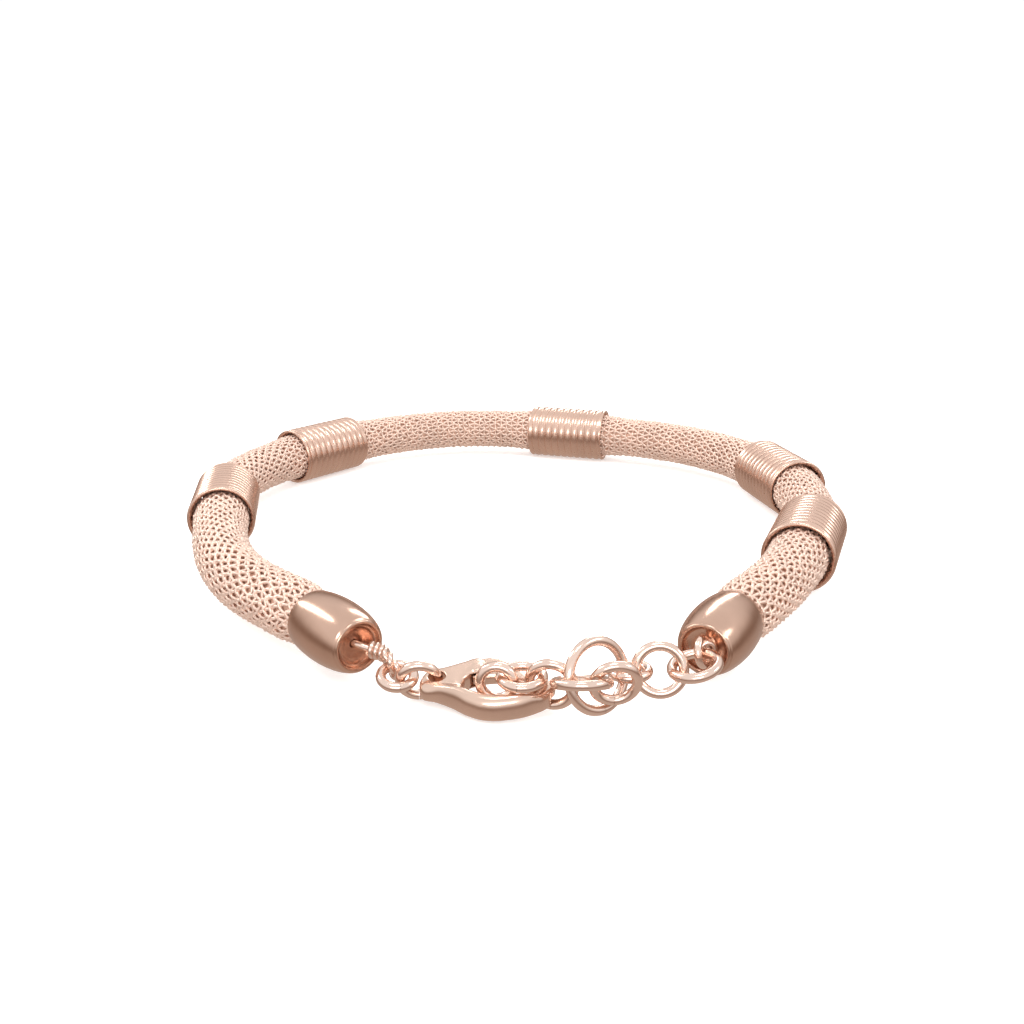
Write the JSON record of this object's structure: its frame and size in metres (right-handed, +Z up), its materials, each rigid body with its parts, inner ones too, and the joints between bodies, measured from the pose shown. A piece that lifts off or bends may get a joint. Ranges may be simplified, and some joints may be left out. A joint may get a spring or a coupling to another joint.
{
  "type": "mesh bracelet",
  "caption": "Hollow knitted wire bracelet with ribbed sleeve beads, turned end caps, a lobster clasp and an extension chain, lying closed as a loop.",
  "frame": {"origin": "under the middle of the whole bracelet's box, on the table plane", "axes": "+Z up from the table; +Y from the clasp and chain, nearest the camera, towards the far side of the loop; +X to the right as seen from the clasp's side"},
  "size_m": [0.0676, 0.0776, 0.0065],
  "materials": {
    "mesh": "rose gold plated knitted wire",
    "bead": "rose gold plated, polished",
    "cap": "rose gold plated, polished",
    "wire": "rose gold plated wire",
    "ring": "rose gold plated, polished",
    "clasp": "rose gold plated, fine brushed faces"
  },
  "bodies": {
    "bracelet": {"mesh_tube": "mesh", "ribbed_bead_1": "bead", "ribbed_bead_2": "bead", "ribbed_bead_3": "bead", "ribbed_bead_4": "bead", "ribbed_bead_5": "bead", "end_cap_left": "cap", "end_cap_right": "cap", "wire_eye_left": "wire", "wire_eye_right": "wire", "clasp_ring_1": "ring", "clasp_ring_2": "ring", "chain_ring_1": "ring", "chain_ring_2": "ring", "chain_ring_3": "ring", "chain_ring_4": "ring", "chain_ring_5": "ring", "chain_ring_6": "ring", "chain_ring_7": "ring", "chain_ring_8": "ring", "chain_ring_9": "ring", "clasp_body": "clasp"},
    "lever": {"clasp_lever": "clasp"}
  },
  "joints": [
    {"name": "clasp_lever_hinge", "type": "hinge", "parent": "bracelet", "child": "lever", "pos_m": [-0.00259, -0.03339, 0.00153], "axis": [0.0397, 0.1866, -0.9816], "range_deg": [0, 18], "stiffness_Nm_per_rad": 0.0006, "springref_deg": -20.05}
  ]
}
